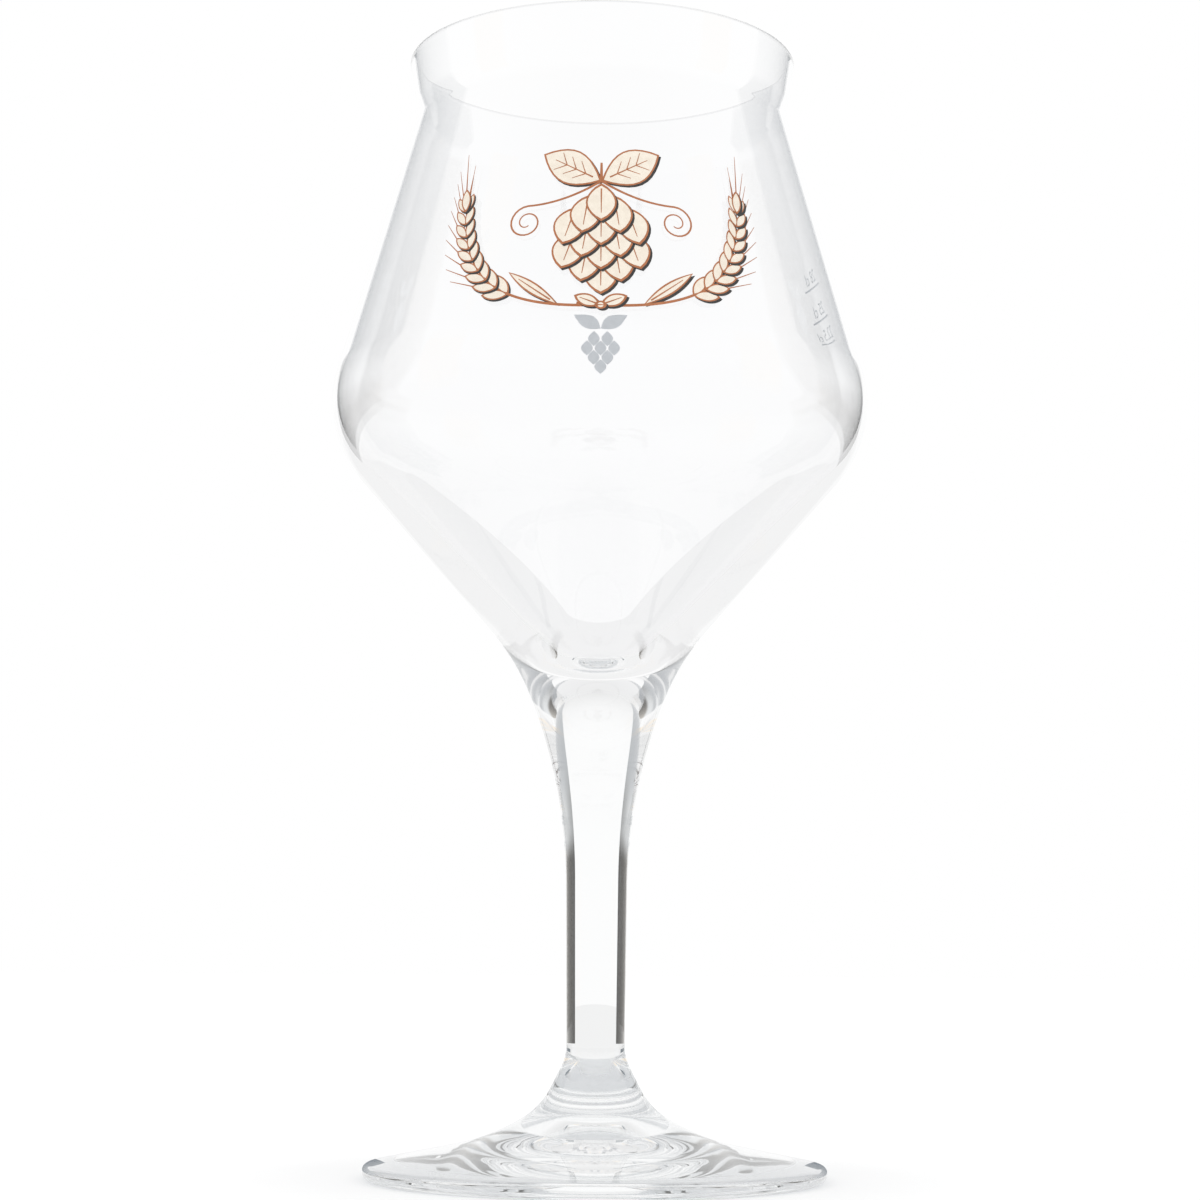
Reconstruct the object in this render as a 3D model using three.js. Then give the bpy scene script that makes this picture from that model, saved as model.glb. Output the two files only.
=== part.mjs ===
// A stemmed beer glass with a flared lip, a wide belly and two cones.
// Three pieces of clear glass are welded hot: a blown bowl, a drawn solid stem and a pressed foot.
// Millimetres, +Z up, with the origin on the table under the middle of the foot.
import * as THREE from 'three';

// Bowl, from the rim down: radii are where the straight stretches of the outline would meet
const rimRadius = 34.3;
const neckRadius = 32.9;
const bellyRadius = 49.2;
const bowlBaseRadius = 14.4;
const lipFlareHeight = 9.9;
const upperConeHeight = 57.2;
const lowerConeHeight = 40.0;
const bowlBaseHeight = 6.9;
const neckRounding = 10;
const bellyRounding = 19.2;
const bowlBaseRounding = 40;

// Glass of the bowl: thin at the rim, thicker towards the stem
const rimWall = 1.2;
const bellyWall = 1.3;
const bowlBaseWall = 5.5;
const floorThickness = 5.0;

// Stem
const shankTopRadius = 5.5;
const shankFootRadius = 5.0;
const upperFlareHeight = 15.0;
const shankLength = 46.3;
const lowerFlareHeight = 4.4;
const shankTopRounding = 88;
const shankFootRounding = 9;

// Foot
const footRadius = 39.5;
const footEdgeHeight = 2.6;
const footEdgeDraft = 0.2;
const footSlopeRadius = 17.6;
const footSlopeHeight = 4.6;
const collarRadius = 9.3;
const collarHeight = 5.2;
const collarNeckHeight = 3.9;
const edgeTopRounding = 1.2;
const edgeUnderRounding = 1.4;
const footSlopeRounding = 40;
const collarRounding = 12;

// Underside of the foot: a flat ring to stand on, then a shallow cone up to a domed dimple at the middle
const restRingWidth = 5.9;
const hollowDepth = 3.2;
const dimpleRadius = 10.0;
const dimpleDepth = 2.8;
const dimpleCrownRadius = 4.5;
const dimpleEdgeRounding = 0.8;
const dimpleCrownRounding = 5;

// Fineness of the turned surfaces
const turnSegments = 64;
const chordSag = 0.04;

// Heights of the welds and of the outline's corners, stacked from the table up
const footSlopeLevel = footEdgeHeight + footSlopeHeight;
const collarLevel = footSlopeLevel + collarHeight;
const footWeldLevel = collarLevel + collarNeckHeight;
const shankFootLevel = footWeldLevel + lowerFlareHeight;
const shankTopLevel = shankFootLevel + shankLength;
const bowlWeldLevel = shankTopLevel + upperFlareHeight;
const bowlBaseLevel = bowlWeldLevel + bowlBaseHeight;
const bellyLevel = bowlBaseLevel + lowerConeHeight;
const neckLevel = bellyLevel + upperConeHeight;
const rimLevel = neckLevel + lipFlareHeight;
const lipLevel = rimLevel - rimWall / 2;

function corner(radius, level, rounding = 0) {
  return { point: new THREE.Vector2(radius, level), rounding };
}

function directionTo(from, to) {
  return to.point.clone().sub(from.point).normalize();
}

// Points along an arc about a centre, from one angle to another, with both ends
function arc(centre, radius, startAngle, endAngle) {
  const stepAngle = 2 * Math.acos(1 - Math.min(chordSag / radius, 1));
  const steps = Math.max(2, Math.ceil(Math.abs(endAngle - startAngle) / stepAngle));
  return Array.from({ length: steps + 1 }, (_, i) => {
    const angle = startAngle + ((endAngle - startAngle) * i) / steps;
    return new THREE.Vector2(Math.cos(angle), Math.sin(angle)).multiplyScalar(radius).add(centre);
  });
}

// An outline through corners, each rounded by an arc that touches both of its straight stretches.
// Where two roundings would not fit on the stretch between them, both shrink until they do.
function roundedOutline(corners) {
  const last = corners.length - 1;
  const halfTurns = corners.map((here, i) => {
    if (i === 0 || i === last) return 0;
    const into = directionTo(corners[i - 1], here);
    const out = directionTo(here, corners[i + 1]);
    return Math.atan2(into.cross(out), into.dot(out)) / 2;
  });
  const reach = corners.map((here, i) => here.rounding * Math.abs(Math.tan(halfTurns[i])));
  const room = corners.slice(1).map((here, i) => {
    const length = here.point.distanceTo(corners[i].point);
    return Math.min(1, length / Math.max(reach[i] + reach[i + 1], Number.EPSILON));
  });
  return corners.flatMap((here, i) => {
    if (i === 0 || i === last || reach[i] === 0) return [here.point.clone()];
    const fit = Math.min(room[i - 1], room[i]);
    const radius = here.rounding * fit;
    const into = directionTo(corners[i - 1], here);
    const side = Math.sign(halfTurns[i]);
    const start = here.point.clone().addScaledVector(into, -reach[i] * fit);
    const centre = start.clone().add(new THREE.Vector2(-into.y, into.x).multiplyScalar(side * radius));
    const startAngle = start.clone().sub(centre).angle();
    return arc(centre, radius, startAngle, startAngle + 2 * halfTurns[i]);
  });
}

// The point where a rising outline passes a level
function pointAt(outline, level) {
  const i = outline.findIndex((point, k) => k > 0 && point.y >= level && outline[k - 1].y < level);
  const share = (level - outline[i - 1].y) / (outline[i].y - outline[i - 1].y);
  return new THREE.Vector2(THREE.MathUtils.lerp(outline[i - 1].x, outline[i].x, share), level);
}

// The stretch of a rising outline between two levels, cut exactly there
function between(outline, low, high) {
  const inside = outline.filter((point) => point.y > low && point.y < high);
  return [pointAt(outline, low), ...inside, pointAt(outline, high)];
}

// A corner moved inwards, to where its two stretches meet once each is moved in by the wall
function inset(before, here, after, wall) {
  const into = directionTo(before, here);
  const out = directionTo(here, after);
  const normals = new THREE.Vector2(-into.y - out.y, into.x + out.x);
  return here.point.clone().addScaledVector(normals, wall / (1 + into.dot(out)));
}

// Outer outline of the whole glass, from the ring it stands on to the lip
const footRim = corner(footRadius, footEdgeHeight, edgeTopRounding);
const footUnder = corner(footRadius - footEdgeDraft, 0, edgeUnderRounding);
const footSlope = corner(footSlopeRadius, footSlopeLevel, footSlopeRounding);
const collar = corner(collarRadius, collarLevel, collarRounding);
const restInnerRadius = footUnder.point.x - restRingWidth;
const shankTop = corner(shankTopRadius, shankTopLevel, shankTopRounding);
const bowlBase = corner(bowlBaseRadius, bowlBaseLevel, bowlBaseRounding);
const belly = corner(bellyRadius, bellyLevel, bellyRounding);
const neck = corner(neckRadius, neckLevel, neckRounding);
const lip = corner(rimRadius, lipLevel);
const outerOutline = roundedOutline([
  corner(restInnerRadius, 0),
  footUnder,
  footRim,
  footSlope,
  collar,
  corner(shankFootRadius, shankFootLevel, shankFootRounding),
  shankTop,
  bowlBase,
  belly,
  neck,
  lip,
]);

// Inner wall of the bowl, from the lip down its two cones, then a round well that touches the lower cone
function bowlInside() {
  const innerLip = corner(rimRadius - rimWall, lipLevel);
  const innerNeck = { point: inset(belly, neck, lip, rimWall), rounding: neckRounding + rimWall };
  const innerBelly = { point: inset(bowlBase, belly, neck, bellyWall), rounding: bellyRounding - bellyWall };
  const innerBase = inset(shankTop, bowlBase, belly, bowlBaseWall);
  const cone = innerBelly.point.clone().sub(innerBase);
  const steepness = cone.y / cone.x;
  const coneTip = innerBase.y - steepness * innerBase.x;
  const wellLevel = bowlWeldLevel + floorThickness;
  const wellRadius = (wellLevel - coneTip) / (Math.hypot(1, steepness) - 1);
  const wellCentre = new THREE.Vector2(0, wellLevel + wellRadius);
  const bottom = -Math.PI / 2;
  const well = arc(wellCentre, wellRadius, bottom + Math.atan(steepness), bottom);
  well[well.length - 1].x = 0;
  const wellTop = { point: well[0], rounding: 0 };
  return [...roundedOutline([innerLip, innerNeck, innerBelly, wellTop]).slice(1, -1), ...well];
}

function bowlProfile() {
  const outside = between(outerOutline, bowlWeldLevel, lipLevel);
  const lipCentre = new THREE.Vector2(rimRadius - rimWall / 2, lipLevel);
  const lipOuter = arc(lipCentre, rimWall / 2, 0, Math.PI / 2).slice(1);
  const lipInner = arc(lipCentre, rimWall / 2, Math.PI / 2, Math.PI).slice(1);
  return [new THREE.Vector2(0, bowlWeldLevel), ...outside, ...lipOuter, ...lipInner, ...bowlInside()];
}

function stemProfile() {
  const outside = between(outerOutline, footWeldLevel, bowlWeldLevel);
  return [new THREE.Vector2(0, footWeldLevel), ...outside, new THREE.Vector2(0, bowlWeldLevel)];
}

// The hollow rises gently from the ring to the dimple, which rises to a flat crown on the axis
function footProfile() {
  const crownLevel = hollowDepth + dimpleDepth;
  const hollow = roundedOutline([
    corner(0, crownLevel),
    corner(dimpleCrownRadius, crownLevel, dimpleCrownRounding),
    corner(dimpleRadius, hollowDepth, dimpleEdgeRounding),
    corner(restInnerRadius, 0),
  ]).slice(0, -1);
  const outside = outerOutline.filter((point) => point.y < footWeldLevel);
  const weldEdge = pointAt(outerOutline, footWeldLevel);
  return [...hollow, ...outside, weldEdge, new THREE.Vector2(0, footWeldLevel)];
}

// Clear soda-lime glass, a shade cooler where it is thick
function clearGlass(colour) {
  return new THREE.MeshStandardMaterial({
    color: colour, roughness: 0.03, metalness: 0, transparent: true, opacity: 0.35,
  });
}

// A piece of glass turned about the vertical axis
function turned(name, profile, material) {
  const geometry = new THREE.LatheGeometry(profile, turnSegments);
  geometry.rotateX(Math.PI / 2);
  const mesh = new THREE.Mesh(geometry, material);
  mesh.name = name;
  return mesh;
}

const glass = new THREE.Group();
glass.name = 'stemmed_beer_glass';
glass.add(turned('bowl', bowlProfile(), clearGlass(0xf3f6f6)));
glass.add(turned('stem', stemProfile(), clearGlass(0xe9eeee)));
glass.add(turned('foot', footProfile(), clearGlass(0xe6ecec)));

export default glass;
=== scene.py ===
"""A stemmed beer glass: a blown bowl, a solid stem and a pressed foot, with a print fired on the bowl."""
import math
import bpy
from mathutils import Matrix, Vector


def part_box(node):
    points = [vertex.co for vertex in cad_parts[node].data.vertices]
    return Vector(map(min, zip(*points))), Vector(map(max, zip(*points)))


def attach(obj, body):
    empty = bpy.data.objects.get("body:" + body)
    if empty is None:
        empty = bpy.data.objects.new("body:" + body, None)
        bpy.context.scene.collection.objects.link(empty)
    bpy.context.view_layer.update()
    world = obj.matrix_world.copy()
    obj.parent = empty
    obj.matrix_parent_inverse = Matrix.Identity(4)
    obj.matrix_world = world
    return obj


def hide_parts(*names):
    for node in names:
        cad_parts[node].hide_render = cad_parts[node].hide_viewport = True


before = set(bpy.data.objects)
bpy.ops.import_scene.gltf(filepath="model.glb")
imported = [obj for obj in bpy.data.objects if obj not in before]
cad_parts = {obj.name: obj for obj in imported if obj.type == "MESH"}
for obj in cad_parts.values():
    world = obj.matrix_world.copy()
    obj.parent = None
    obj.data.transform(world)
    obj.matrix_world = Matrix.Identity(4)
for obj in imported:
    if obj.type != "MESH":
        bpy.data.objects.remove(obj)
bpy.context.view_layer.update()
scene = bpy.context.scene

# Foot
# The foot is a disc of clear glass pressed with a short collar, and it carries the whole glass.
# It stands on a flat ring, and the hollow inside the ring rises to a small domed dimple.
# A fire polish leaves its edge round and its surface smooth, with faint waves.
MM = 0.001
weld_tolerance = 0.001 * MM
turning_radius = 40 * MM
sharp_angle = math.radians(50)
refraction = 1.52
haze_scale = 260.0
haze_roughness = 0.012
shade_through_glass = (0.84, 0.85, 0.86, 1)


class Value:
    """One output of a node tree. Arithmetic on it adds Math nodes to that tree."""

    def __init__(self, nodes, socket):
        self.nodes = nodes
        self.socket = socket

    def output(self, name):
        return Value(self.nodes, self.socket.node.outputs[name])

    def math(self, operation, *others):
        return self.nodes.calculated(operation, self, *others)

    def __add__(self, other):
        return self.nodes.calculated("ADD", self, other)

    def __radd__(self, other):
        return self.nodes.calculated("ADD", other, self)

    def __sub__(self, other):
        return self.nodes.calculated("SUBTRACT", self, other)

    def __rsub__(self, other):
        return self.nodes.calculated("SUBTRACT", other, self)

    def __mul__(self, other):
        return self.nodes.calculated("MULTIPLY", self, other)

    def __rmul__(self, other):
        return self.nodes.calculated("MULTIPLY", other, self)

    def __truediv__(self, other):
        return self.nodes.calculated("DIVIDE", self, other)

    def __neg__(self):
        return self.nodes.calculated("MULTIPLY", self, -1.0)


class Nodes:
    """Adds nodes to one tree, with their settings first and then their sockets' values or links."""

    def __init__(self, tree):
        self.tree = tree

    def add(self, kind, settings=None, sockets=None, output=0):
        node = self.tree.nodes.new(kind)
        for name, setting in (settings or {}).items():
            if name == "stops":
                self.set_stops(node.color_ramp, setting)
            else:
                setattr(node, name, setting)
        for name, given in (sockets or {}).items():
            if isinstance(given, Value):
                self.tree.links.new(given.socket, node.inputs[name])
            elif isinstance(given, list):
                for one in given:
                    self.tree.links.new(one.socket, node.inputs[name])
            else:
                node.inputs[name].default_value = given
        return Value(self, node.outputs[output]) if node.outputs else None

    def calculated(self, operation, *operands):
        return self.add("ShaderNodeMath", {"operation": operation}, dict(enumerate(operands)))

    def set_stops(self, ramp, stops):
        while len(ramp.elements) < len(stops):
            ramp.elements.new(1.0)
        for element, (place, colour) in zip(ramp.elements, stops):
            element.position = place
            element.color = colour


def new_tree(name, inputs, output):
    """A geometry node tree with its inputs named and of given kinds, the geometry first, and one output."""
    tree = bpy.data.node_groups.new(name, "GeometryNodeTree")
    tree.is_modifier = True
    for socket, kind in inputs.items():
        tree.interface.new_socket(socket, in_out="INPUT", socket_type="NodeSocket" + kind)
    tree.interface.new_socket(output, in_out="OUTPUT", socket_type="NodeSocketGeometry")
    return tree


def turning_tree():
    """Geometry nodes that turn an outline, drawn in the XZ plane, once about the Z axis."""
    tree = new_tree("turn_about_axis", {
        "Outline": "Geometry", "Segments": "Int", "Path Radius": "Float", "Weld Distance": "Float",
        "Glass": "Material"}, "Turned")
    nodes = Nodes(tree)
    given = nodes.add("NodeGroupInput")
    path_radius = given.output("Path Radius")
    place = nodes.add("ShaderNodeSeparateXYZ", None, {"Vector": nodes.add("GeometryNodeInputPosition")})
    across = place.output("X") - path_radius
    laid_flat = nodes.add("ShaderNodeCombineXYZ", None, {"X": across, "Y": -place.output("Z")})
    section = nodes.add("GeometryNodeSetPosition", None, {"Geometry": given, "Position": laid_flat})
    circle = nodes.add("GeometryNodeCurvePrimitiveCircle", None,
                       {"Resolution": given.output("Segments"), "Radius": path_radius})
    path = nodes.add("GeometryNodeSetCurveNormal", {"mode": "Z_UP"}, {"Curve": circle})
    swept = nodes.add("GeometryNodeCurveToMesh", None, {"Curve": path, "Profile Curve": section})
    closed = nodes.add("GeometryNodeMergeByDistance", None,
                       {"Geometry": swept, "Distance": given.output("Weld Distance")})
    outward = nodes.add("GeometryNodeFlipFaces", None, {"Mesh": closed})
    plain = nodes.add("GeometryNodeRealizeInstances", None, {"Geometry": outward})
    glazed = nodes.add("GeometryNodeSetMaterial", None,
                       {"Geometry": plain, "Material": given.output("Glass")})
    nodes.add("NodeGroupOutput", None, {"Turned": glazed})
    return tree


TURNING = turning_tree()


def stretch(start, end, step):
    """The points inside a straight stretch, about a step apart."""
    count = max(1, math.ceil((end - start).length / step))
    return [start.lerp(end, k / count) for k in range(1, count)]


def rounded_outline(corners, step=0.8 * MM, turn=math.radians(2)):
    """Points through corners (radius, level, rounding), with arcs at the corners and short steps between."""
    points = [Vector(corners[0][:2])]
    for before, here, after in zip(corners, corners[1:], corners[2:]):
        middle = Vector(here[:2])
        into = (middle - Vector(before[:2])).normalized()
        out = (Vector(after[:2]) - middle).normalized()
        swing = math.atan2(into.x * out.y - into.y * out.x, into.dot(out))
        reach = here[2] * abs(math.tan(swing / 2))
        start = middle - into * reach
        side = math.copysign(1, swing)
        centre = start + Vector((-into.y, into.x)) * side * here[2]
        first = start - centre
        count = max(2, math.ceil(abs(swing) / turn), math.ceil(abs(swing) * here[2] / step))
        arc = [centre + Matrix.Rotation(swing * k / count, 2) @ first for k in range(count + 1)]
        points += stretch(points[-1], start, step) + arc
    end = Vector(corners[-1][:2])
    return points + stretch(points[-1], end, step) + [end]


def cut_between(outline, low, high):
    """The part of a rising outline from one level to another, with its ends exactly there."""
    kept = []
    for a, b in zip(outline, outline[1:]):
        for level in (low, high):
            if a.y < level <= b.y:
                kept.append(a.lerp(b, (level - a.y) / (b.y - a.y)))
        if low < b.y < high:
            kept.append(b)
    return kept


def added(name, data):
    """A new object in the scene, at the origin."""
    piece = bpy.data.objects.new(name, data)
    scene.collection.objects.link(piece)
    return piece


def as_mesh(draft):
    """The finished mesh of a draft object, which is then removed."""
    view = bpy.context.evaluated_depsgraph_get()
    mesh = bpy.data.meshes.new_from_object(draft.evaluated_get(view), depsgraph=view)
    bpy.data.objects.remove(draft)
    return mesh


def shaped(name, data, tree, settings):
    """The mesh that geometry nodes make from a drawing, with the tree's inputs set by their names."""
    draft = added(name + "_draft", data)
    modifier = draft.modifiers.new("shape", "NODES")
    modifier.node_group = tree
    for item in tree.interface.items_tree:
        if item.name in settings:
            modifier[item.identifier] = settings[item.name]
    mesh = as_mesh(draft)
    mesh.name = name
    return mesh


def line_through(name, spots):
    """A line drawn straight from spot to spot in space."""
    drawing = bpy.data.curves.new(name, "CURVE")
    drawing.dimensions = "3D"
    spline = drawing.splines.new("POLY")
    spline.points.add(len(spots) - 1)
    for point, spot in zip(spline.points, spots):
        point.co = (*spot, 1)
    return drawing


def plain_material(name, surface):
    """A material whose surface is made by a function of its nodes."""
    material = bpy.data.materials.new(name)
    material.use_nodes = True
    material.node_tree.nodes.clear()
    nodes = Nodes(material.node_tree)
    nodes.add("ShaderNodeOutputMaterial", None, {"Surface": surface(nodes)})
    return material


def weld_seam(nodes):
    """The faces that two pieces share after the hot weld, where the glass is one and light passes freely."""
    return nodes.add("ShaderNodeBsdfTransparent")


WELD_SEAM = plain_material("weld_seam", weld_seam)


def turned(name, profile, segments, glass, weld_levels):
    """A piece of glass turned from its profile; the flat faces at its welds let light straight through."""
    outline = line_through(name + "_outline", [(corner.x, 0, corner.y) for corner in profile])
    mesh = shaped(name, outline, TURNING, {
        "Segments": segments, "Path Radius": turning_radius, "Weld Distance": weld_tolerance, "Glass": glass})
    mesh.materials.append(WELD_SEAM)
    for face in mesh.polygons:
        levels = [mesh.vertices[i].co.z for i in face.vertices]
        flat = max(levels) - min(levels) < weld_tolerance
        if flat and any(abs(levels[0] - weld) < weld_tolerance for weld in weld_levels):
            face.material_index = 1
    mesh.shade_smooth()
    mesh.set_sharp_from_angle(angle=sharp_angle)
    return added(name, mesh)


def clear_glass(name, tint, wave_size, wave_depth):
    """Clear soda-lime glass with the faint waves of its making and a trace of washing haze."""
    def surface(nodes):
        place = nodes.add("ShaderNodeTexCoord", None, None, "Object")
        waves = nodes.add("ShaderNodeTexNoise", None,
                          {"Vector": place, "Scale": 1 / wave_size, "Detail": 1.0})
        bump = nodes.add("ShaderNodeBump", None,
                         {"Height": waves, "Strength": 1.0, "Distance": wave_depth})
        haze = nodes.add("ShaderNodeTexNoise", None,
                         {"Vector": place, "Scale": haze_scale, "Detail": 4.0})
        glass = nodes.add("ShaderNodeBsdfPrincipled", None, {
            "Base Color": tint, "Roughness": haze * haze_roughness, "IOR": refraction,
            "Transmission Weight": 1.0, "Normal": bump})
        shade = nodes.add("ShaderNodeBsdfTransparent", None, {"Color": shade_through_glass})
        ray = nodes.add("ShaderNodeLightPath", None, None, "Is Shadow Ray")
        lighting = ray.math("MAXIMUM", ray.output("Is Diffuse Ray"))
        return nodes.add("ShaderNodeMixShader", None, {0: lighting, 1: glass, 2: shade})
    return plain_material(name, surface)


foot_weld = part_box("foot")[1].z
below_weld = foot_weld - 0.01 * MM
foot_radius = 39.5 * MM
edge_draft = 0.2 * MM
under_radius = foot_radius - edge_draft
rest_ring_width = 5.9 * MM
hollow_depth = 3.2 * MM
dimple_depth = 2.8 * MM
crown_level = hollow_depth + dimple_depth
dimple_middle = (0.0, crown_level, 0.0)
dimple_crown = (4.5 * MM, crown_level, 5.0 * MM)
dimple_edge = (10.0 * MM, hollow_depth, 0.8 * MM)
rest_inner = (under_radius - rest_ring_width, 0.0, 0.0)
rest_outer = (under_radius, 0.0, 1.4 * MM)
foot_rim = (foot_radius, 2.6 * MM, 1.2 * MM)
foot_slope = (17.6 * MM, 7.2 * MM, 40.0 * MM)
collar = (9.3 * MM, 12.4 * MM, 12.0 * MM)
shank_foot = (5.0 * MM, 20.7 * MM, 9.0 * MM)
shank_top = (5.5 * MM, 67.0 * MM, 88.0 * MM)
foot_outline = rounded_outline([
    dimple_middle, dimple_crown, dimple_edge, rest_inner, rest_outer, foot_rim, foot_slope, collar,
    shank_foot, shank_top], step=0.4 * MM)
foot_profile = [point for point in foot_outline if point.y < below_weld]
foot_profile += cut_between(foot_outline, below_weld, foot_weld)[-1:]
foot_profile.append(Vector((0.0, foot_weld)))
foot_glass = clear_glass("foot_glass", (0.985, 0.99, 0.99, 1), wave_size=18 * MM, wave_depth=0.02 * MM)
foot = turned("foot_pressed", foot_profile, segments=240, glass=foot_glass, weld_levels=[foot_weld])
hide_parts("foot")
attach(foot, "root")

# Stem
# The stem is drawn from solid glass: a slender shank that widens at both ends.
# It is welded hot to the collar below and to the bowl above, so no seam is felt by hand.
bowl_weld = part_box("stem")[1].z
bowl_base = (14.4 * MM, 88.9 * MM, 40.0 * MM)
belly = (49.2 * MM, 128.9 * MM, 19.2 * MM)
stem_outline = rounded_outline([collar, shank_foot, shank_top, bowl_base, belly], step=0.3 * MM)
stem_profile = [Vector((0.0, foot_weld))]
stem_profile += cut_between(stem_outline, foot_weld, bowl_weld)
stem_profile.append(Vector((0.0, bowl_weld)))
stem_glass = clear_glass("stem_glass", (0.985, 0.99, 0.99, 1), wave_size=14 * MM, wave_depth=0.01 * MM)
stem = turned("stem_drawn", stem_profile, segments=200, glass=stem_glass, weld_levels=[foot_weld, bowl_weld])
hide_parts("stem")
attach(stem, "root")

# Bowl
# The bowl is blown thin: two cones that meet at a wide belly, and a lip that flares out.
# Its rim is cut and fire-polished round, and its floor is the thick drop of the gather.


def inset(before, here, after, wall, rounding):
    """A corner moved in to where its two stretches meet once each is moved in by the wall."""
    middle = Vector(here[:2])
    into = (middle - Vector(before[:2])).normalized()
    out = (Vector(after[:2]) - middle).normalized()
    normals = Vector((-into.y - out.y, into.x + out.x))
    moved = middle + normals * wall / (1 + into.dot(out))
    return (moved.x, moved.y, rounding)


rim_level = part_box("bowl")[1].z
rim_radius = 34.3 * MM
rim_wall = 1.2 * MM
belly_wall = 1.3 * MM
base_wall = 5.5 * MM
floor_thickness = 5.0 * MM
lip_flare_height = 9.9 * MM
lip_level = rim_level - rim_wall / 2
lip_steps = 14
well_steps = 30
neck = (32.9 * MM, rim_level - lip_flare_height, 10.0 * MM)
lip = (rim_radius, lip_level, 0.0)
bowl_outline = rounded_outline([shank_top, bowl_base, belly, neck, lip])
inner_lip = (rim_radius - rim_wall, lip_level, 0.0)
inner_neck = inset(belly, neck, lip, rim_wall, neck[2] + rim_wall)
inner_belly = inset(bowl_base, belly, neck, belly_wall, belly[2] - belly_wall)
inner_base = inset(shank_top, bowl_base, belly, base_wall, 0.0)
steepness = (inner_belly[1] - inner_base[1]) / (inner_belly[0] - inner_base[0])
cone_tip = inner_base[1] - steepness * inner_base[0]
well_level = bowl_weld + floor_thickness
well_radius = (well_level - cone_tip) / (math.hypot(1, steepness) - 1)
well_swing = math.atan(steepness)
well = []
for k in range(well_steps + 1):
    swing = well_swing * (1 - k / well_steps)
    well.append(Vector((well_radius * math.sin(swing), well_level + well_radius * (1 - math.cos(swing)))))
inside = rounded_outline([inner_lip, inner_neck, inner_belly, (well[0].x, well[0].y, 0.0)])
lip_centre = Vector((rim_radius - rim_wall / 2, lip_level))
lip_side = Vector((rim_wall / 2, 0.0))
lip_round = [lip_centre + Matrix.Rotation(math.pi * k / lip_steps, 2) @ lip_side
             for k in range(1, lip_steps)]
bowl_profile = [Vector((0.0, bowl_weld))]
bowl_profile += cut_between(bowl_outline, bowl_weld, lip_level)
bowl_profile += lip_round + inside[:-1] + well
bowl_glass = clear_glass("bowl_glass", (0.996, 0.997, 1.0, 1), wave_size=30 * MM, wave_depth=0.012 * MM)
bowl = turned("bowl_blown", bowl_profile, segments=240, glass=bowl_glass, weld_levels=[bowl_weld])
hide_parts("bowl")
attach(bowl, "root")

# Hop cone
# A hop cone with two leaves is printed on the front of the bowl in ceramic ink and fired in.
# Three screens print it in turn: a charcoal shadow, the copper drawing, and the cream of the bracts.
print_level = 153.0 * MM
wall_lean = (neck[0] - belly[0]) / (neck[1] - belly[1])
wall_rise = 1 / math.hypot(1, wall_lean)
print_radius = belly[0] + (print_level - belly[1]) * wall_lean
film = 0.006 * MM
screen_heights = {"shadow": 0.004 * MM, "copper": 0.012 * MM, "cream": 0.02 * MM}
over_cream = 0.016 * MM
overlap_lift = 0.034 * MM
shadow_shift = Vector((0.32 * MM, -0.36 * MM))
outline_width = 0.3 * MM


def wrapping_tree():
    """Geometry nodes that make a flat drawing as thick as a film and lay it round the bowl's upper cone."""
    tree = new_tree("wrap_round_wall", {
        "Drawing": "Geometry", "Radius": "Float", "Lean": "Float", "Level": "Float", "Rise": "Float",
        "Turn": "Float", "Height": "Float", "Thickness": "Float", "Ink": "Material"}, "Film")
    nodes = Nodes(tree)
    given = nodes.add("NodeGroupInput")
    flat = nodes.add("GeometryNodeMergeByDistance", None, {"Geometry": given, "Distance": weld_tolerance})
    upward = nodes.add("ShaderNodeCombineXYZ", None, {"Z": given.output("Thickness")})
    raised = nodes.add("GeometryNodeExtrudeMesh", None,
                       {"Mesh": flat, "Offset": upward, "Offset Scale": 1.0, "Individual": False})
    under = nodes.add("GeometryNodeFlipFaces", None, {"Mesh": flat})
    both = nodes.add("GeometryNodeJoinGeometry", None, {"Geometry": [raised, under]})
    closed = nodes.add("GeometryNodeMergeByDistance", None, {"Geometry": both, "Distance": weld_tolerance})
    place = nodes.add("ShaderNodeSeparateXYZ", None, {"Vector": nodes.add("GeometryNodeInputPosition")})
    radius = given.output("Radius")
    angle = given.output("Turn") + place.output("X") / radius
    reach = radius + place.output("Y") * given.output("Lean") + place.output("Z") + given.output("Height")
    wrapped = nodes.add("ShaderNodeCombineXYZ", None, {
        "X": reach * angle.math("SINE"), "Y": -(reach * angle.math("COSINE")),
        "Z": given.output("Level") + place.output("Y") * given.output("Rise")})
    laid = nodes.add("GeometryNodeSetPosition", None, {"Geometry": closed, "Position": wrapped})
    plain = nodes.add("GeometryNodeRealizeInstances", None, {"Geometry": laid})
    inked = nodes.add("GeometryNodeSetMaterial", None,
                      {"Geometry": plain, "Material": given.output("Ink")})
    nodes.add("NodeGroupOutput", None, {"Film": inked})
    return tree


WRAPPING = wrapping_tree()


def printed(name, drawing, ink, height, turn=0.0):
    """A film of fired ink on the bowl, from a flat drawing with its middle at the print's level."""
    mesh = shaped(name, drawing, WRAPPING, {
        "Radius": print_radius, "Lean": wall_lean * wall_rise, "Level": print_level, "Rise": wall_rise,
        "Turn": turn, "Height": height, "Thickness": film, "Ink": ink})
    piece = added(name, mesh)
    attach(piece, "root")


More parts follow.
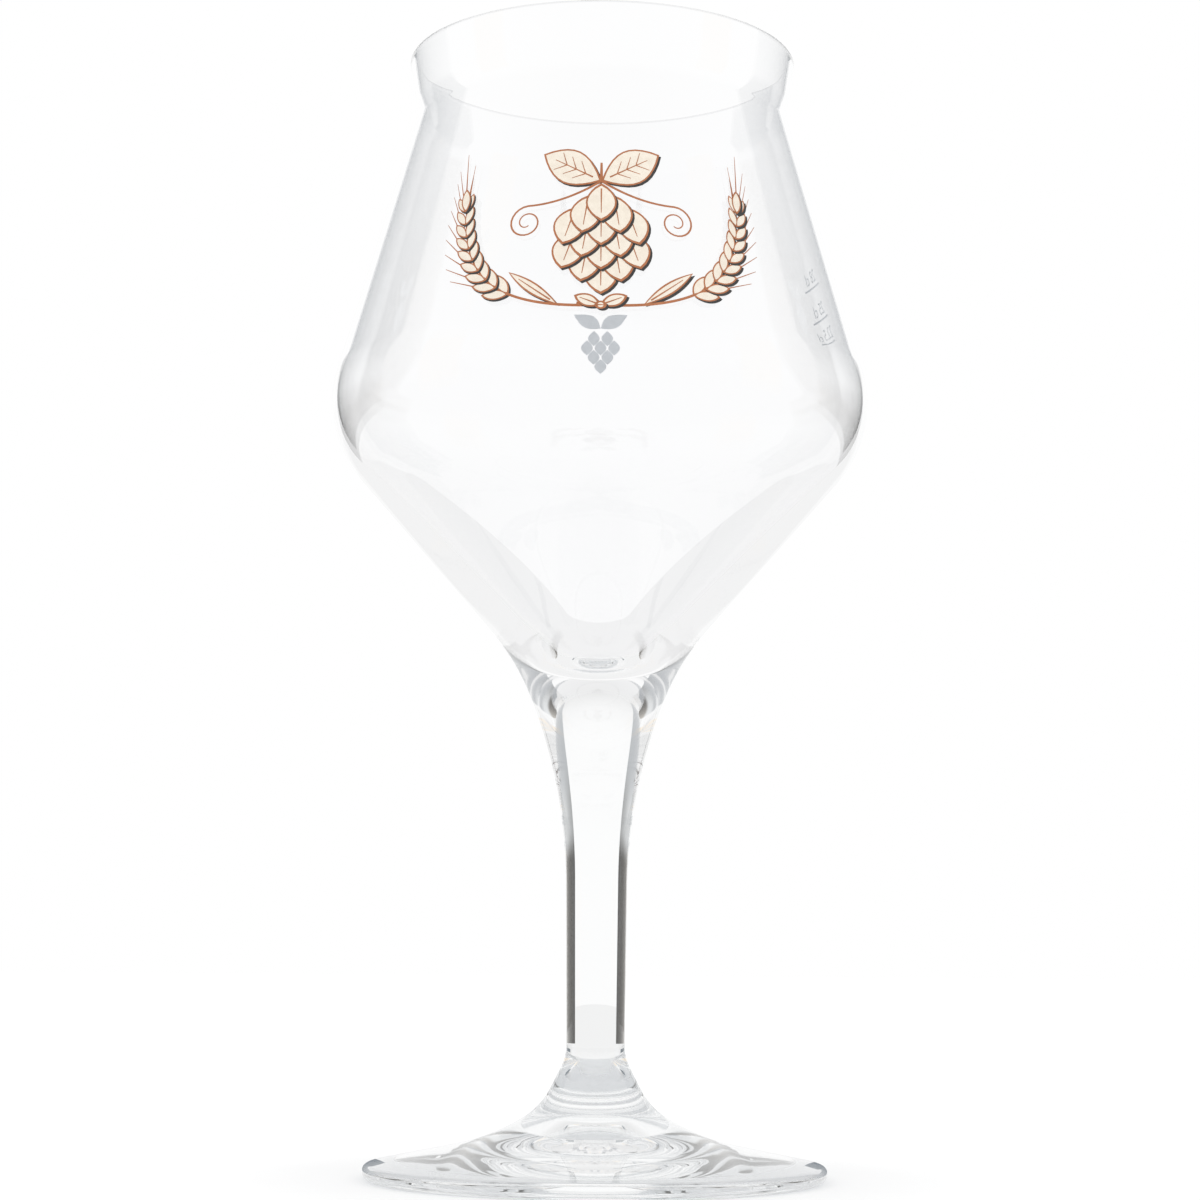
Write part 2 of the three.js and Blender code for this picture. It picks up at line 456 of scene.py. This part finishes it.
def fired_ink(name, deep, pale, gloss, metal):
    """Ceramic ink melted onto the glass, mottled a little by the weave of its screen."""
    def surface(nodes):
        place = nodes.add("ShaderNodeTexCoord", None, None, "Object")
        mottle = nodes.add("ShaderNodeTexNoise", None, {"Vector": place, "Scale": 900.0, "Detail": 3.0})
        colour = nodes.add("ShaderNodeMix", {"data_type": "RGBA"}, {0: mottle, 6: deep, 7: pale}, 2)
        return nodes.add("ShaderNodeBsdfPrincipled", None, {
            "Base Color": colour, "Roughness": gloss + mottle * 0.2, "Metallic": metal})
    return plain_material(name, surface)


INKS = {
    "shadow": fired_ink("ink_charcoal", (0.012, 0.012, 0.013, 1), (0.045, 0.042, 0.04, 1), 0.4, 0.0),
    "copper": fired_ink("ink_copper", (0.3, 0.1, 0.04, 1), (0.5, 0.2, 0.09, 1), 0.3, 0.25),
    "cream": fired_ink("ink_cream", (0.68, 0.6, 0.5, 1), (0.84, 0.78, 0.68, 1), 0.35, 0.0),
}


def strip_faces(steps, columns):
    """Faces between rows of points that run across a strip, facing up."""
    return [(k * columns + j, (k + 1) * columns + j, (k + 1) * columns + j + 1, k * columns + j + 1)
            for k in range(steps) for j in range(columns - 1)]


def leaf(length, width, fullness=0.75, steps=10):
    """A flat pointed oval along +X from the origin, as rows of points across it and the faces between."""
    points = []
    for k in range(steps + 1):
        half = width / 2 * math.sin(math.pi * k / steps) ** fullness
        points += [Vector((length * k / steps, half * across, 0.0)) for across in (-1, 0, 1)]
    return points, strip_faces(steps, 3)


def ribbon(path, start_width, end_width):
    """A flat stroke along a path, from one width to another."""
    points = []
    last = len(path) - 1
    for k, here in enumerate(path):
        ahead = (path[min(k + 1, last)] - path[max(k - 1, 0)]).normalized()
        half = (start_width + (end_width - start_width) * k / last) / 2
        across = Vector((-ahead.y, ahead.x)) * half
        points += [Vector((*(here - across), 0.0)), Vector((*(here + across), 0.0))]
    return points, strip_faces(last, 2)


def placed(shape, spot, heading=0.0, lift=0.0):
    """A flat shape turned to a heading and moved to a spot, lifted by some height above its screen."""
    points, faces = shape
    turn = Matrix.Rotation(heading, 3, "Z")
    return [turn @ point + Vector((spot[0], spot[1], lift)) for point in points], faces


def drawn(name, shapes):
    """One flat mesh of many shapes."""
    vertices = []
    faces = []
    for points, shape_faces in shapes:
        faces += [tuple(len(vertices) + i for i in face) for face in shape_faces]
        vertices += points
    mesh = bpy.data.meshes.new(name)
    mesh.from_pydata(vertices, [], faces)
    return mesh


def straight(start, end, steps):
    """Points on a straight line, in equal steps."""
    return [start.lerp(end, k / steps) for k in range(steps + 1)]


def bend(start, pull, end, steps):
    """Points on a smooth bend from start to end that leans towards a pull point."""
    return [start * (1 - t) ** 2 + pull * 2 * t * (1 - t) + end * t ** 2
            for t in (k / steps for k in range(steps + 1))]


def curl(centre, start_radius, end_radius, start_angle, turns, steps=36):
    """Points on a spiral that winds in about a centre; negative turns wind clockwise."""
    points = []
    for k in range(steps + 1):
        radius = start_radius + (end_radius - start_radius) * k / steps
        angle = start_angle + 2 * math.pi * turns * k / steps
        points.append(centre + Vector((math.cos(angle), math.sin(angle))) * radius)
    return points


def beside(side, out, up):
    """A spot of the print, so many millimetres out to one side of its middle and up from its level."""
    return Vector((side * out, up)) * MM


def leaning(side, degrees):
    """The heading of something that leans from upright to one side."""
    return math.pi / 2 - side * math.radians(degrees)


tip_margin = 1.6 * outline_width
rib_start = 0.14
rib_end = 0.78
rib_width = 0.28 * MM
rib_tip_width = 0.12 * MM
vein_places = (0.26, 0.42, 0.58)
vein_along = 0.15
vein_across = 0.27
vein_width = 0.2 * MM
vein_tip_width = 0.1 * MM


def outlined(screens, length, width, spot, heading, lift, fullness=0.75):
    """A leaf shape on all three screens: a shadow, a copper outline with a midrib, and a cream field."""
    ahead = Vector((math.cos(heading), math.sin(heading)))
    screens["shadow"].append(placed(leaf(length, width, fullness), spot + shadow_shift, heading, lift))
    screens["copper"].append(placed(leaf(length, width, fullness), spot, heading, lift))
    field = leaf(length - 2 * tip_margin, width - 2 * outline_width, fullness)
    screens["cream"].append(placed(field, spot + ahead * tip_margin, heading, lift))
    midline = straight(Vector((length * rib_start, 0.0)), Vector((length * rib_end, 0.0)), 8)
    rib = ribbon(midline, rib_width, rib_tip_width)
    screens["copper"].append(placed(rib, spot, heading, lift + over_cream))


def side_veins(screens, length, width, spot, heading):
    """Short veins that run from a leaf's midrib towards its edges."""
    for share in vein_places:
        for side in (1, -1):
            root = Vector((length * share, 0.0))
            tip = root + Vector((vein_along * length, side * vein_across * width))
            vein = ribbon(straight(root, tip, 4), vein_width, vein_tip_width)
            screens["copper"].append(placed(vein, spot, heading, over_cream))


bract_length = 7.2 * MM
bract_width = 5.2 * MM
bract_spacing = 4.3 * MM
bract_fan = 65.0
row_pitch = 2.25 * MM
lowest_row = -3.4 * MM
row_counts = (1, 2, 3, 2, 3, 2, 1)
down = -math.pi / 2
hop = {"shadow": [], "copper": [], "cream": []}
for row, count in enumerate(row_counts):
    for k in range(count):
        offset = (k - (count - 1) / 2) * bract_spacing
        spot = Vector((offset, lowest_row + row * row_pitch))
        outlined(hop, bract_length, bract_width, spot, down + bract_fan * offset, (row + 1) * overlap_lift)
leaf_root = Vector((0.0, 10.6 * MM))
leaf_length = 12.0 * MM
leaf_width = 6.6 * MM
curl_radius = 3.1 * MM
curl_eye = 0.7 * MM
curl_turns = 1.6
tendril_pull = 6.5 * MM
for side in (1, -1):
    heading = leaning(side, 63)
    outlined(hop, leaf_length, leaf_width, leaf_root, heading, 0.0, 0.9)
    side_veins(hop, leaf_length, leaf_width, leaf_root, heading)
    centre = beside(side, 12.6, 3.2)
    top = centre + Vector((0.0, curl_radius))
    tendril = bend(leaf_root, Vector((tendril_pull * side, top.y)), top, 14)
    tendril += curl(centre, curl_radius, curl_eye, math.pi / 2, -curl_turns * side)[1:]
    hop["copper"].append(ribbon(tendril, 0.42 * MM, 0.2 * MM))
stalk_end = leaf_root + Vector((0.0, 3.5 * MM))
hop["copper"].append(ribbon(straight(leaf_root, stalk_end, 7), 0.6 * MM, 0.4 * MM))
for screen, shapes in hop.items():
    printed("hop_" + screen, drawn("hop_drawing", shapes), INKS[screen], screen_heights[screen])

# Barley ears
# Two ears of barley curve out and up beside the hop cone, printed on the same three screens.
# Their grains stand in pairs along the ear, each with a long awn, and a bow ties the crossed stalks.


def ear_tree():
    """Geometry nodes that set a flat shape in splayed pairs along a path, smaller towards its tip."""
    tree = new_tree("pairs_along_ear", {
        "Path": "Geometry", "Shape": "Object", "Pairs": "Int", "Splay": "Float", "Taper": "Float",
        "Lift": "Float", "Ink": "Material"}, "Ear")
    nodes = Nodes(tree)
    given = nodes.add("NodeGroupInput")
    pairs = given.output("Pairs")
    stations = nodes.add("GeometryNodeCurveToPoints", {"mode": "COUNT"}, {"Curve": given, "Count": pairs})
    along = nodes.add("ShaderNodeSeparateXYZ", None, {"Vector": stations.output("Tangent")})
    heading = along.output("Y").math("ARCTAN2", along.output("X"))
    order = nodes.add("GeometryNodeInputIndex")
    size = 1.0 - given.output("Taper") * order / pairs
    above = nodes.add("ShaderNodeCombineXYZ", None, {"Z": order * given.output("Lift")})
    lifted = nodes.add("GeometryNodeSetPosition", None, {"Geometry": stations, "Offset": above})
    shape = nodes.add("GeometryNodeObjectInfo", None, {"Object": given.output("Shape")}, "Geometry")
    sides = []
    for side in (1.0, -1.0):
        turn = nodes.add("ShaderNodeCombineXYZ", None, {"Z": heading + given.output("Splay") * side})
        facing = nodes.add("FunctionNodeEulerToRotation", None, {"Euler": turn})
        sides.append(nodes.add("GeometryNodeInstanceOnPoints", None, {
            "Points": lifted, "Instance": shape, "Rotation": facing, "Scale": size}))
    both = nodes.add("GeometryNodeJoinGeometry", None, {"Geometry": sides})
    plain = nodes.add("GeometryNodeRealizeInstances", None, {"Geometry": both})
    inked = nodes.add("GeometryNodeSetMaterial", None,
                      {"Geometry": plain, "Material": given.output("Ink")})
    nodes.add("NodeGroupOutput", None, {"Ear": inked})
    return tree


EAR = ear_tree()
grain_length = 4.6 * MM
grain_width = 1.9 * MM
grain_pairs = 9
grain_splay = math.radians(27)
grain_taper = 0.25
awn_start = 0.75 * grain_length
awn_length = 8.0 * MM
awn_splay = math.radians(11)


def points_and_faces(mesh):
    """A mesh as a flat shape, like those that are drawn."""
    return [vertex.co.copy() for vertex in mesh.vertices], [tuple(face.vertices) for face in mesh.polygons]


def ear_shapes(name, path, shape, splay, ink):
    """The flat shapes of one ear on one screen: the shape in pairs, and once more at the tip."""
    line = line_through(name + "_path", [(spot.x, spot.y, 0) for spot in path])
    pattern = added(name + "_pattern", drawn(name + "_pattern", [shape]))
    mesh = shaped(name, line, EAR, {
        "Shape": pattern, "Pairs": grain_pairs, "Splay": splay, "Taper": grain_taper,
        "Lift": overlap_lift, "Ink": ink})
    bpy.data.objects.remove(pattern)
    ahead = path[-1] - path[-2]
    tip = placed(shape, path[-1], math.atan2(ahead.y, ahead.x), grain_pairs * overlap_lift)
    return [points_and_faces(mesh), tip]


grain = leaf(grain_length, grain_width)
field_margin = 1.5 * outline_width
grain_field = leaf(grain_length - 2 * field_margin, grain_width - 1.6 * outline_width)
grain_field = placed(grain_field, (field_margin, 0.0))
awn_line = straight(Vector((awn_start, 0.0)), Vector((awn_start + awn_length, 0.0)), 10)
awn = ribbon(awn_line, 0.3 * MM, 0.1 * MM)
bow = beside(0, 0.0, -12.55)
knot_length = 1.9 * MM
stalk_steps = 40
blade_step = 9
ear_step = 18
barley = {"shadow": [], "copper": [], "cream": []}
for side in (1, -1):
    stalk = bend(beside(side, -3.6, -12.2), beside(side, 21.0, -15.4), beside(side, 24.5, 6.5), stalk_steps)
    ear = stalk[ear_step:]
    ear_shadow = [spot + shadow_shift for spot in ear]
    outlined(barley, 10.5 * MM, 2.0 * MM, stalk[blade_step], leaning(side, 52), 0.0, 0.9)
    barley["shadow"] += ear_shapes("grain_shadow", ear_shadow, grain, grain_splay, INKS["shadow"])
    barley["copper"] += ear_shapes("grain_outline", ear, grain, grain_splay, INKS["copper"])
    barley["copper"] += ear_shapes("awn", ear, awn, awn_splay, INKS["copper"])
    barley["copper"].append(ribbon(stalk, 0.55 * MM, 0.3 * MM))
    barley["cream"] += ear_shapes("grain_field", ear, grain_field, grain_splay, INKS["cream"])
    outlined(barley, 4.4 * MM, 2.3 * MM, bow, leaning(side, 66), overlap_lift)
knot_start = bow - Vector((knot_length / 2, 0.0))
outlined(barley, knot_length, 1.5 * MM, knot_start, 0.0, 2 * overlap_lift, 0.5)
for screen, shapes in barley.items():
    printed("barley_" + screen, drawn("barley_drawing", shapes), INKS[screen], screen_heights[screen])

# Fill marks
# Three fill lines with their volumes are printed in pale grey on the wall, away from the ornament.
# The middle line stands where a quarter of a litre does.
mark_turn = math.radians(103)
mark_length = 9.0 * MM
mark_width = 0.32 * MM
label_size = 3.2 * MM
label_gap = 0.8 * MM
mark_levels = [(147.7 * MM, "22.5 cl"), (152.3 * MM, "25 cl"), (158.1 * MM, "28 cl")]


def lettering(words, size):
    """Flat letters as one shape, centred on the origin."""
    writing = bpy.data.curves.new("label", "FONT")
    writing.body = words
    writing.size = size
    writing.align_x = "CENTER"
    writing.resolution_u = 4
    return points_and_faces(as_mesh(added("label_draft", writing)))


marks = []
for level, words in mark_levels:
    up = (level - print_level) / wall_rise
    line = straight(Vector((-mark_length / 2, up)), Vector((mark_length / 2, up)), 8)
    marks.append(ribbon(line, mark_width, mark_width))
    marks.append(placed(lettering(words, label_size), (0.0, up + label_gap)))
pale_ink = fired_ink("ink_pale_grey", (0.78, 0.79, 0.8, 1), (0.9, 0.91, 0.92, 1), 0.4, 0.0)
printed("fill_marks", drawn("mark_drawing", marks), pale_ink, screen_heights["shadow"], mark_turn)

# Back print
# A small hop in the same pale grey is printed on the back of the bowl, in one screen.
# Its bracts stand apart, so that the bare glass draws the lines between them.
small_length = 3.0 * MM
small_width = 2.3 * MM
small_pitch = 0.62 * small_length
small_spacing = 1.15 * small_width
small_low = -3.0 * MM
small_counts = (1, 2, 3, 2)
small_leaf_gap = 0.5 * MM
small_hop = []
for row, count in enumerate(small_counts):
    for k in range(count):
        spot = Vector(((k - (count - 1) / 2) * small_spacing, small_low + row * small_pitch))
        small_hop.append(placed(leaf(small_length, small_width, 1.0), spot, down))
small_root = Vector((0.0, small_low + (len(small_counts) - 1) * small_pitch + small_leaf_gap))
for side in (1, -1):
    small_hop.append(placed(leaf(6.5 * MM, 3.2 * MM, 0.9), small_root, leaning(side, 58)))
printed("back_hop", drawn("back_drawing", small_hop), pale_ink, screen_heights["shadow"], math.pi)

# Studio
# A plain white floor and surround, with soft lamps from both sides of the camera. Cards beside the backdrop,
# low strips by the foot and warm cards towards the camera give the clear glass its edges.
# They are seen in the glass alone.
floor_half = 4.0
contact_radius = 0.04
open_radius = 0.1
least_glow = 0.12
floor_glow = 1.1
floor_glow_in_glass = 0.9


def coordinates(nodes, kind):
    """The three parts of a texture coordinate."""
    return nodes.add("ShaderNodeSeparateXYZ", None,
                     {"Vector": nodes.add("ShaderNodeTexCoord", None, None, kind)})


def angle_from_backdrop(place):
    """The angle round the glass, from the backdrop to either side."""
    return place.output("X").math("ABSOLUTE").math("ARCTAN2", place.output("Y"))


def eased(value, start, end, low=0.0, high=1.0):
    """Eases from low to high while a value goes from start to end."""
    return value.nodes.add("ShaderNodeMapRange", {"interpolation_type": "SMOOTHSTEP"}, {
        "Value": value, "From Min": start, "From Max": end, "To Min": low, "To Max": high})


def staged(name, vertices, faces, material):
    """A sheet of the studio, which is no part of the glass."""
    mesh = bpy.data.meshes.new(name)
    mesh.from_pydata(vertices, [], faces)
    mesh.materials.append(material)
    sheet = added(name, mesh)
    return sheet


def white_floor(nodes):
    """White paper that takes the glass's shadow near the foot and glows evenly further out."""
    place = coordinates(nodes, "Object")
    far = (place.output("X") * place.output("X") + place.output("Y") * place.output("Y")).math("SQRT")
    blend = eased(far, contact_radius, open_radius)
    paper = nodes.add("ShaderNodeBsdfDiffuse", None, {"Color": (0.9, 0.9, 0.9, 1)})
    in_glass = nodes.add("ShaderNodeLightPath", None, None, "Is Glossy Ray")
    glow = nodes.add("ShaderNodeEmission", None, {
        "Color": (1, 1, 1, 1), "Strength": floor_glow - in_glass * (floor_glow - floor_glow_in_glass)})
    return nodes.add("ShaderNodeMixShader", None, {
        0: least_glow + blend * (1 - least_glow), 1: paper, 2: glow})


floor_corners = [(-floor_half, -floor_half, 0), (floor_half, -floor_half, 0),
                 (floor_half, floor_half, 0), (-floor_half, floor_half, 0)]
staged("studio_floor", floor_corners, [(0, 1, 2, 3)], plain_material("floor_white", white_floor))

card_distance = 0.7
card_height = 0.9
card_start = 33
card_end = 78
stem_zone_top = 0.13
belly_zone_bottom = 0.21
belly_zone_top = 0.26
upper_zone_bottom = 0.42
brown_tint = (1.0, 0.95, 0.88)
grey_tint = (0.97, 0.99, 1.0)
upper_grey = (0.46, 0.48, 0.5, 1)
dark_tones = [(card_start, 0.05), (40, 0.07), (48, 0.1), (56, 0.16), (63, 0.24), (70, 0.36), (card_end, 0.6)]
pale_tones = [(card_start, 0.36), (40, 0.46), (48, 0.62), (60, 0.75), (card_end, 0.86)]


def tones_round(nodes, angle, tones, tint):
    """Tones of one tint that change with the angle from the backdrop, given in degrees."""
    stops = [(degrees / 180, (*(tone * part for part in tint), 1)) for degrees, tone in tones]
    return nodes.add("ShaderNodeValToRGB", {"stops": stops}, {"Fac": angle / math.pi})


def card_tones(nodes):
    """Dark brown as high as the stem sees, pale grey as the belly sees, and a middle grey above that."""
    place = coordinates(nodes, "Object")
    angle = angle_from_backdrop(place)
    height = place.output("Z")
    dark = tones_round(nodes, angle, dark_tones, brown_tint)
    pale = tones_round(nodes, angle, pale_tones, grey_tint)
    lower = nodes.add("ShaderNodeMix", {"data_type": "RGBA"},
                      {0: eased(height, stem_zone_top, belly_zone_bottom), 6: dark, 7: pale}, 2)
    tone = nodes.add("ShaderNodeMix", {"data_type": "RGBA"},
                     {0: eased(height, belly_zone_top, upper_zone_bottom), 6: lower, 7: upper_grey}, 2)
    return nodes.add("ShaderNodeEmission", None, {"Color": tone})


def evenly_lit(name, colour):
    """A material that shines in one colour."""
    return plain_material(name, lambda nodes: nodes.add("ShaderNodeEmission", None, {"Color": colour}))


def side_card(name, side, start, end, radius, height, material):
    """A card that stands round one side of the glass, between two angles from the backdrop."""
    steps = 48
    vertices = []
    for k in range(steps + 1):
        angle = math.radians(start + (end - start) * k / steps)
        vertices += [(side * radius * math.sin(angle), radius * math.cos(angle), z) for z in (0.0, height)]
    faces = [(2 * k, 2 * k + 2, 2 * k + 3, 2 * k + 1) for k in range(steps)]
    card = staged(name, vertices, faces, material)
    card.visible_camera = False
    card.visible_diffuse = False
    card.visible_shadow = False


strip_distance = 0.058
strip_height = 0.01
warm_card_height = 0.5
card_material = plain_material("card_tones", card_tones)
strip_material = evenly_lit("strip_dark", (0.15, 0.18, 0.21, 1))
warm_material = evenly_lit("card_warm", (1.0, 0.91, 0.8, 1))
for side, word in ((1, "right"), (-1, "left")):
    side_card("card_" + word, side, card_start, card_end, card_distance, card_height, card_material)
    side_card("strip_" + word, side, 45, 82, strip_distance, strip_height, strip_material)
    side_card("warm_card_" + word, side, 101, 121, card_distance, warm_card_height, warm_material)

lamp_size = 1.4
lamp_power = 15
lamp_aim = Vector((0.0, 0.0, 0.1))


def soft_lamp(name, place):
    """A large square lamp that lights the glass but isn't mirrored in it."""
    data = bpy.data.lights.new(name, "AREA")
    data.shape = "SQUARE"
    data.size = lamp_size
    data.energy = lamp_power
    lamp = added(name, data)
    lamp.location = place
    lamp.rotation_euler = (lamp_aim - Vector(place)).to_track_quat("-Z", "Y").to_euler()
    lamp.visible_glossy = False
    lamp.visible_transmission = False


soft_lamp("lamp_left", (-1.3, -1.1, 1.5))
soft_lamp("lamp_right", (1.3, -1.1, 1.5))

backdrop_level = 1.0
overhead_level = 0.85
camera_side_drop = 0.08
level_on_surfaces = 0.75
world = bpy.data.worlds.new("white_surround")
scene.world = world
world.use_nodes = True
world.node_tree.nodes.clear()
surround = Nodes(world.node_tree)
ray = surround.add("ShaderNodeLightPath", None, None, "Is Camera Ray")
in_glass = ray.output("Is Glossy Ray").math("MAXIMUM", ray.output("Is Transmission Ray"))
toward = coordinates(surround, "Generated")
lift = toward.output("Z").math("ARCSINE")
through_glass = eased(lift, math.radians(26), math.radians(52), backdrop_level, overhead_level)
drop = eased(angle_from_backdrop(toward), math.radians(100), math.radians(165), 0.0, camera_side_drop)
seen = (through_glass - drop) * in_glass + level_on_surfaces * (1.0 - in_glass)
white = surround.add("ShaderNodeBackground", None,
                     {"Color": (1, 1, 1, 1), "Strength": ray.math("MAXIMUM", seen)})
surround.add("ShaderNodeOutputWorld", None, {"Surface": white})

camera_data = bpy.data.cameras.new("camera")
camera_data.sensor_width = 36.0
camera_data.lens = 79.8
camera_data.clip_start = 0.01
camera = added("camera", camera_data)
camera.location = (0.00024, -0.4608, 0.0382)
upward = math.pi / 2 + math.radians(7.57)
roll = math.radians(0.4)
camera.rotation_euler = (Matrix.Rotation(upward, 3, "X") @ Matrix.Rotation(roll, 3, "Z")).to_euler()
scene.camera = camera

scene.view_settings.view_transform = "Standard"
bounces_in_glass = 128
scene.cycles.max_bounces = bounces_in_glass
scene.cycles.glossy_bounces = bounces_in_glass
scene.cycles.transmission_bounces = bounces_in_glass
scene.cycles.transparent_max_bounces = bounces_in_glass
